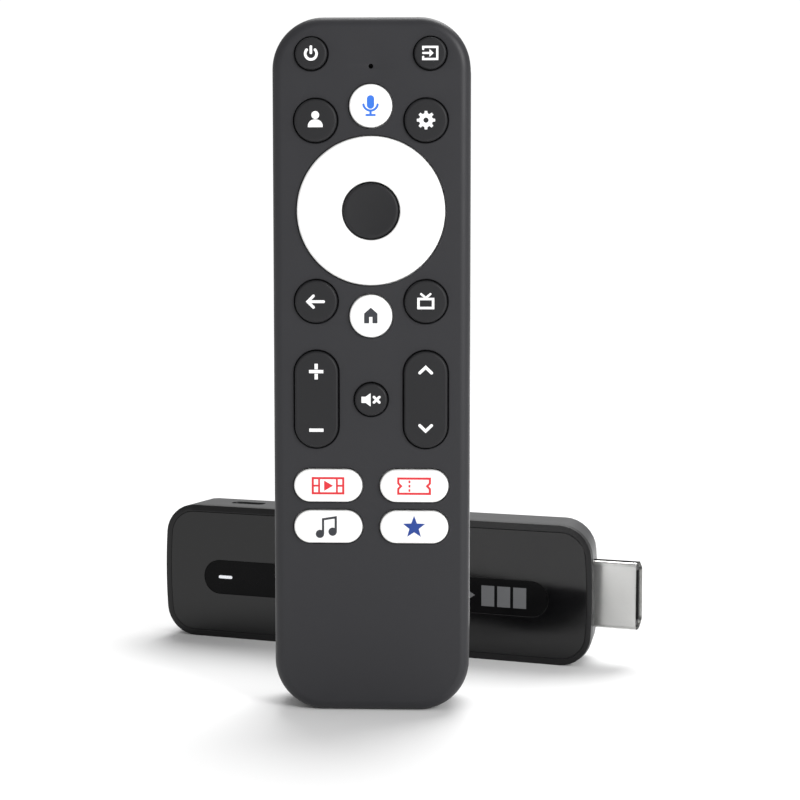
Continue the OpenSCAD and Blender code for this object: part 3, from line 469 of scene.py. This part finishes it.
# Grip ribs on the battery cover: one round-backed bar on each point of a line
ribSizes = {"Count": 6, "Spacing": 1.7, "Length": 13.0, "Radius": 0.55}
ribRise, ribFromTop = 0.2, 4.0
ribTree = bpy.data.node_groups.new("gripRibs", "GeometryNodeTree")
ribInputs = {name: ribTree.interface.new_socket(name=name, in_out="INPUT", socket_type=kind)
             for name, kind in (("Count", "NodeSocketInt"), ("Spacing", "NodeSocketFloat"),
                                ("Length", "NodeSocketFloat"), ("Radius", "NodeSocketFloat"))}
ribTree.interface.new_socket(name="Geometry", in_out="OUTPUT", socket_type="NodeSocketGeometry")
given = addNode(ribTree, "NodeGroupInput", {})
step = addNode(ribTree, "ShaderNodeCombineXYZ", {}, Z=given.outputs["Spacing"])
row = addNode(ribTree, "GeometryNodeMeshLine", {"mode": "OFFSET"}, Count=given.outputs["Count"],
              Offset=step.outputs["Vector"])
bar = addNode(ribTree, "GeometryNodeMeshCylinder", {"Vertices": 32}, Radius=given.outputs["Radius"],
              Depth=given.outputs["Length"])
turned = addNode(ribTree, "GeometryNodeTransform", {"Rotation": (0, math.pi / 2, 0)},
                 Geometry=bar.outputs["Mesh"])
placed = addNode(ribTree, "GeometryNodeInstanceOnPoints", {}, Points=row.outputs["Mesh"],
                 Instance=turned.outputs["Geometry"])
real = addNode(ribTree, "GeometryNodeRealizeInstances", {}, Geometry=placed.outputs["Instances"])
coated = addNode(ribTree, "GeometryNodeSetMaterial", {"Material": remoteAbs},
                 Geometry=real.outputs["Geometry"])
addNode(ribTree, "NodeGroupOutput", {}, Geometry=coated.outputs["Geometry"])

ribHost = bpy.data.objects.new("gripRibs", bpy.data.meshes.new("gripRibs"))
scene.collection.objects.link(ribHost)
ribMaker = ribHost.modifiers.new("gripRibs", "NODES")
ribMaker.node_group = ribTree
for name, value in ribSizes.items():
    ribMaker[ribInputs[name].identifier] = value
ribMesh = bpy.data.meshes.new_from_object(ribHost.evaluated_get(bpy.context.evaluated_depsgraph_get()))
ribHost.modifiers.remove(ribMaker)
bpy.data.objects.remove(ribHost)
coverLow, coverHigh = localBox("battery_cover", remotePlace)
bm = bmesh.new()
bm.from_mesh(ribMesh)
bpy.data.meshes.remove(ribMesh)
ribFoot = coverHigh.z - ribFromTop - ribSizes["Spacing"] * (ribSizes["Count"] - 1)
bmesh.ops.translate(bm, vec=(0, coverHigh.y - ribSizes["Radius"] + ribRise, ribFoot), verts=bm.verts)
finishPiece(bm, "batteryCoverGrip", remoteAbs, "battery_cover", remotePlace)
print("remote shells made")

dressNode("stick_housing", "stickRearHousing", edge=0.2, crease=30)
dressNode("stick_front_cover", "stickFrontCover", edge=0.1, finish=rimAbs, crease=25)
dressNode("stick_front_panel", "stickFrontPanel", edge=0.08)
dressNode("stick_strip", "stickNameStrip", edge=0.05)
dressNode("stick_light_pipe", "stickLightBar", edge=0.05)
dressNode("reset_button", "resetButtonPin", edge=0.1)
dressNode("power_socket_shell", "powerSocketShell", edge=0.05)

# The plug's bent sheet shell: plain, with rounded bends and a mouth turned slightly inwards
plug = {"sheet": 0.3, "bend": 0.55, "narrow": 1.4, "shoulder": 0.3, "leastBend": 0.2}
plugLow, plugHigh = localBox("hdmi_plug_shell", stickPlace)


# A closed outline with its corners bent round
def bendCorners(points, r, n=6):
    rounded = []
    count = len(points)
    for i, corner in enumerate(points):
        before, after = Vector(points[i - 1]), Vector(points[(i + 1) % count])
        corner = Vector(corner)
        a, b = (before - corner).normalized(), (after - corner).normalized()
        half = a.angle(b) / 2
        reach = r / math.tan(half)
        start, end = corner + a * reach, corner + b * reach
        centre = corner + (a + b).normalized() * (r / math.sin(half))
        for k in range(n + 1):
            t = k / n
            step = (start - centre).slerp(end - centre, t)
            rounded.append(tuple(centre + step))
    return rounded


def plugOutline(inset):
    w, t = (plugHigh.z - plugLow.z) / 2 - inset, (plugHigh.y - plugLow.y) / 2 - inset
    narrow = w - plug["narrow"] + inset * 0.4
    shoulder = plug["shoulder"]
    outline = [(-t, -w), (-t, w), (shoulder, w), (t, narrow), (t, -narrow), (shoulder, -w)]
    return bendCorners(outline, max(plug["bend"] - inset, plug["leastBend"]))


# A skin along the plug, through pairs of a place and how far the outline is inset there
def plugSkin(bm, stations):
    joinRings(bm, [[bm.verts.new((x, y, z)) for y, z in plugOutline(inset)] for x, inset in stations])


bm = bmesh.new()
sheet = plug["sheet"]
plugSkin(bm, [(plugLow.x, sheet), (plugLow.x, 0), (plugHigh.x - 0.35, 0), (plugHigh.x - 0.12, 0.05),
              (plugHigh.x, 0.14), (plugHigh.x, sheet - 0.04), (plugHigh.x - 0.15, sheet), (plugLow.x, sheet)])
finishPiece(bm, "videoPlugShell", nickelSteel, "stick", stickPlace,
            replaced=("hdmi_plug_shell",), crease=40)
print("stick made")

marks = {"lift": 0.03, "sink": 0.02, "step": 0.002}


# Printed shapes drawn round a middle, then given a little thickness. Each one lies a hair
# above the last, so that no two that cross share a plane.
class Mark:
    def __init__(self):
        self.bm = bmesh.new()
        self.level = 0

    def shape(self, points, level=None):
        if level is None:
            self.level += 1
            level = self.level
        self.bm.faces.new([self.bm.verts.new((x, -level * marks["step"], z)) for x, z in points])
        return self

    def dot(self, x, z, r, n=28, level=None):
        return self.shape(circle((x, z), r, n), level)

    def bar(self, x, z, w, h):
        left, right, foot, top = x - w / 2, x + w / 2, z - h / 2, z + h / 2
        return self.shape([(left, foot), (right, foot), (right, top), (left, top)])

    # A stroke along points, mitred at its corners, round at its ends
    def stroke(self, points, width, closed=False):
        count, half = len(points), width / 2
        sides = []
        for i in range(count):
            here = Vector(points[i])
            before = Vector(points[i - 1]) if i > 0 or closed else None
            after = Vector(points[(i + 1) % count]) if i < count - 1 or closed else None
            a = (here - before).normalized() if before is not None else (after - here).normalized()
            b = (after - here).normalized() if after is not None else a
            normal = Vector((-(a.y + b.y), a.x + b.x)).normalized()
            reach = half / max(0.35, normal.dot(Vector((-a.y, a.x))))
            sides.append((here + normal * reach, here - normal * reach))
        self.level += 2
        for i in range(count if closed else count - 1):
            (p, q), (s, t) = sides[i], sides[(i + 1) % count]
            self.shape([tuple(p), tuple(q), tuple(t), tuple(s)], self.level - 1)
        if not closed:
            for end in (points[0], points[-1]):
                self.dot(end[0], end[1], half, 20, self.level)
        return self

    def arc(self, x, z, r, start, stop, width, n=28):
        points = [(x + r * math.cos(math.radians(start + (stop - start) * i / n)),
                   z + r * math.sin(math.radians(start + (stop - start) * i / n))) for i in range(n + 1)]
        return self.stroke(points, width)

    # What lies between an outline round the middle and a round hole
    def band(self, outline, r):
        hole = [tuple(Vector(p).normalized() * r) for p in outline]
        self.level += 1
        for i in range(len(outline)):
            self.shape([outline[i - 1], outline[i], hole[i], hole[i - 1]], self.level)
        return self

    def print(self, name, finish, body, place, top):
        bm = self.bm
        bm.normal_update()
        for face in list(bm.faces):
            if face.normal.y > 0:
                face.normal_flip()
        fronts = list(bm.faces)
        made = bmesh.ops.extrude_face_region(bm, geom=fronts, use_keep_orig=True)
        for v in (g for g in made["geom"] if isinstance(g, bmesh.types.BMVert)):
            v.co.y -= marks["lift"] + marks["sink"]
        bmesh.ops.translate(bm, vec=(0, top + marks["sink"], 0), verts=bm.verts)
        finishPiece(bm, name, finish, body, place, weld=0.00001)


def keyMark(node, name, finish, mark):
    key = keyPlace[node]
    place = remotePlace @ Matrix.Translation((key["at"][0], 0, key["at"][1]))
    mark.print(name, finish, bodyOf[node], place, key["top"])


keyMark("power_key", "powerMark", inkWhite,
        Mark().arc(0, -0.05, 1.1, 137, 403, 0.5).stroke([(0, 0.1), (0, 1.3)], 0.5))
keyMark("input_key", "inputMark", inkWhite,
        Mark().stroke([(-1.35, 0.75), (-1.35, 1.15), (1.35, 1.15), (1.35, -1.15), (-1.35, -1.15),
                       (-1.35, -0.75)], 0.42)
        .stroke([(-1.35, 0), (0.1, 0)], 0.4).shape([(-0.15, 0.75), (-0.15, -0.75), (0.65, 0)]))
shoulders = [(1.45 * math.cos(a), -1.3 + 1.5 * math.sin(a) ** 0.75)
             for a in (math.pi * i / 20 for i in range(21))]
keyMark("account_key", "accountMark", inkWhite, Mark().dot(0, 1.03, 0.76).shape(shoulders))
keyMark("back_key", "backMark", inkWhite,
        Mark().stroke([(1.5, 0), (-1.5, 0)], 0.55).stroke([(-0.5, 1.1), (-1.6, 0), (-0.5, -1.1)], 0.55))
keyMark("home_key", "homeMark", inkDark,
        Mark().shape([(0, 1.65), (-1.3, 0.5), (-1.3, -1.4), (-0.33, -1.4), (-0.33, -0.15), (0.33, -0.15),
                      (0.33, -1.4), (1.3, -1.4), (1.3, 0.5)]))
keyMark("guide_key", "guideMark", inkWhite,
        Mark().stroke([(-1.42, 0.55), (1.42, 0.55), (1.42, -1.2), (-1.42, -1.2)], 0.48, closed=True)
        .stroke([(-0.9, 1.5), (0, 0.75), (0.9, 1.5)], 0.42))
keyMark("voice_key", "voiceMark", inkBlue,
        Mark().shape(slotShape((0, 0.7), 1.4, 2.6, 12)).arc(0, 0.45, 1.4, 190, 350, 0.42)
        .stroke([(0, -0.95), (0, -1.8)], 0.42).stroke([(-0.8, -1.8), (0.8, -1.8)], 0.42))
keyMark("mute_key", "muteMark", inkWhite,
        Mark().shape([(-1.85, 0.6), (-1.85, -0.6), (-1.05, -0.6), (-0.05, -1.3), (-0.05, 1.3), (-1.05, 0.6)])
        .stroke([(0.6, 0.55), (1.65, -0.5)], 0.5).stroke([(0.6, -0.5), (1.65, 0.55)], 0.5))
keyMark("volume_rocker", "volumeMark", inkWhite,
        Mark().bar(0, 5.5, 2.8, 0.64).bar(0, 6.48, 0.64, 1.1).bar(0, 4.52, 0.64, 1.1).bar(0, -6, 2.8, 0.64))
keyMark("channel_rocker", "channelMark", inkWhite,
        Mark().stroke([(-1.15, 5.3), (0, 6.4), (1.15, 5.3)], 0.58)
        .stroke([(-1.15, -5), (0, -6.1), (1.15, -5)], 0.58))
keyMark("shortcut_key_1", "filmMark", inkRed,
        Mark().stroke([(-3, 1.5), (3, 1.5), (3, -1.5), (-3, -1.5)], 0.42, closed=True)
        .bar(-1.75, 0, 0.36, 2.7).bar(1.75, 0, 0.36, 2.7).bar(-2.4, 0, 1.1, 0.36).bar(2.4, 0, 1.1, 0.36)
        .shape([(-0.75, 1), (-0.75, -1), (1, 0)]))
keyMark("shortcut_key_2", "ticketMark", inkRed,
        Mark().stroke([(-3.1, 1.5), (3.1, 1.5), (3.1, 0.55), (2.55, 0), (3.1, -0.55), (3.1, -1.5),
                       (-3.1, -1.5), (-3.1, -0.55), (-2.55, 0), (-3.1, 0.55)], 0.42, closed=True)
        .bar(-0.9, 0.85, 0.36, 0.5).bar(-0.9, 0, 0.36, 0.5).bar(-0.9, -0.85, 0.36, 0.5))
keyMark("shortcut_key_3", "musicMark", inkDark,
        Mark().stroke([(-1, -1.35), (-1, 1.5), (1.5, 1.9), (1.5, -0.9)], 0.44)
        .dot(-1.62, -1.4, 0.82).dot(0.88, -0.95, 0.82))
starOut, starIn = 2.3, 0.42
star = [(starOut * (1 if i % 2 == 0 else starIn) * math.sin(math.pi * i / 5),
         starOut * (1 if i % 2 == 0 else starIn) * math.cos(math.pi * i / 5)) for i in range(10)]
keyMark("shortcut_key_4", "starMark", inkNavy, Mark().shape(star[::-1]))

gear = []
teeth, toothOut, toothIn = 8, 1.78, 1.32
for i in range(teeth):
    for turn, r in ((-0.30, toothIn), (-0.18, toothOut), (0.18, toothOut), (0.30, toothIn)):
        a = 2 * math.pi * (i + turn) / teeth
        gear.append((r * math.cos(a), r * math.sin(a)))
keyMark("settings_key", "settingsMark", inkWhite, Mark().band(gear, 0.5))

# Plain bars where a name would stand on the stick, and a play sign
stripLow, stripHigh = localBox("stick_strip", stickPlace)
stripMiddle = (stripLow.z + stripHigh.z) / 2
nameBars = Mark()
nameBars.shape([(21.0, -2.4), (25.0, 0.0), (21.0, 2.4)])
for x in (28.0, 31.7, 35.4):
    nameBars.bar(x, 0, 3.0, 4.6)
nameBars.print("stickNameBars", inkGrey, "stick",
               stickPlace @ Matrix.Translation((0, 0, stripMiddle)), stripLow.y)
print("marks printed")

studio = {
    "camera": (23.75, -453.4, 96.2), "heading": 2.5, "dip": 5.02, "lens": 90.0,
    "floor": 30000.0, "card": (-22.0, 38.0, -42.0, 13.0, 70.0), "world": 0.5, "backdrop": 1.05,
}
camera = bpy.data.cameras.new("studioCamera")
camera.lens, camera.sensor_width = studio["lens"], 36.0
camera.clip_start, camera.clip_end = 0.02, 20
cameraObject = bpy.data.objects.new("studioCamera", camera)
scene.collection.objects.link(cameraObject)
cameraObject.location = Vector(studio["camera"]) * mm
cameraObject.rotation_euler = (math.radians(90 - studio["dip"]), 0, math.radians(studio["heading"]))
scene.camera = cameraObject


def stageSheet(name, corners, finish):
    sheet = bpy.data.meshes.new(name)
    sheet.from_pydata([tuple(c * mm for c in corner) for corner in corners], [], [(0, 1, 2, 3)])
    sheet.materials.append(finish)
    piece = bpy.data.objects.new(name, sheet)
    scene.collection.objects.link(piece)
    return piece


# Matte white paint: the studio's floor
studioPaint = surface("mattePaintWhite", "f4f4f4", 0.7, grain=3.0, depth=0.002, mottle=0.004, patch=200.0)
half = studio["floor"] / 2
stageSheet("studioFloor", [(-half, -half, 0), (half, -half, 0), (half, half, 0), (-half, half, 0)],
           studioPaint)
# A small card behind the remote, seen only in reflections, glows by its own emission: a painted reflection of
# light for the stick's gloss and plug to mirror
left, right, depth, foot, top = studio["card"]
card = stageSheet("studioCard", [(left, depth, foot), (right, depth, foot), (right, depth, top),
                                 (left, depth, top)],
                  surface("glowingReflectionCardWhite", "f4f4f4", 0.7, grain=3.0, depth=0.002, mottle=0.004,
                          **{"Emission Color": (1, 1, 1, 1), "Emission Strength": 0.75}))
# the card shows up only in glossy rays, so its glow is a painted reflection and lights nothing else
card.visible_camera = card.visible_diffuse = card.visible_shadow = False

world = bpy.data.worlds.new("studioWorld")
scene.world = world
world.use_nodes = True
tree = world.node_tree
tree.nodes.clear()
rays = addNode(tree, "ShaderNodeLightPath", {})
level = addNode(tree, "ShaderNodeMapRange", {"To Min": studio["world"], "To Max": studio["backdrop"]},
                Value=rays.outputs["Is Camera Ray"])
sky = addNode(tree, "ShaderNodeBackground", {"Color": (1, 1, 1, 1)}, Strength=level.outputs["Result"])
addNode(tree, "ShaderNodeOutputWorld", {}, Surface=sky.outputs["Background"])

# An even light from behind, high up, and a softbox in front of the pieces
lampsAimAt = (0, -0.03, 0.06)
lights = {
    "backSun": {"kind": "SUN", "at": (0.14, 0.52, 0.95), "energy": 2.5, "spread": 44},
    "frontSoftbox": {"kind": "AREA", "at": (0.75, -0.85, 0.5), "energy": 9.0, "size": 0.45},
}
for name, light in lights.items():
    lamp = bpy.data.lights.new(name, light["kind"])
    lamp.energy = light["energy"]
    if light["kind"] == "SUN":
        lamp.angle = math.radians(light["spread"])
    else:
        lamp.shape, lamp.size = "SQUARE", light["size"]
    lampObject = bpy.data.objects.new(name, lamp)
    scene.collection.objects.link(lampObject)
    lampObject.location = light["at"]
    aim = Vector(lampsAimAt) - Vector(light["at"])
    lampObject.rotation_euler = aim.to_track_quat("-Z", "Y").to_euler()
scene.view_settings.view_transform = "Standard"
print("studio set")
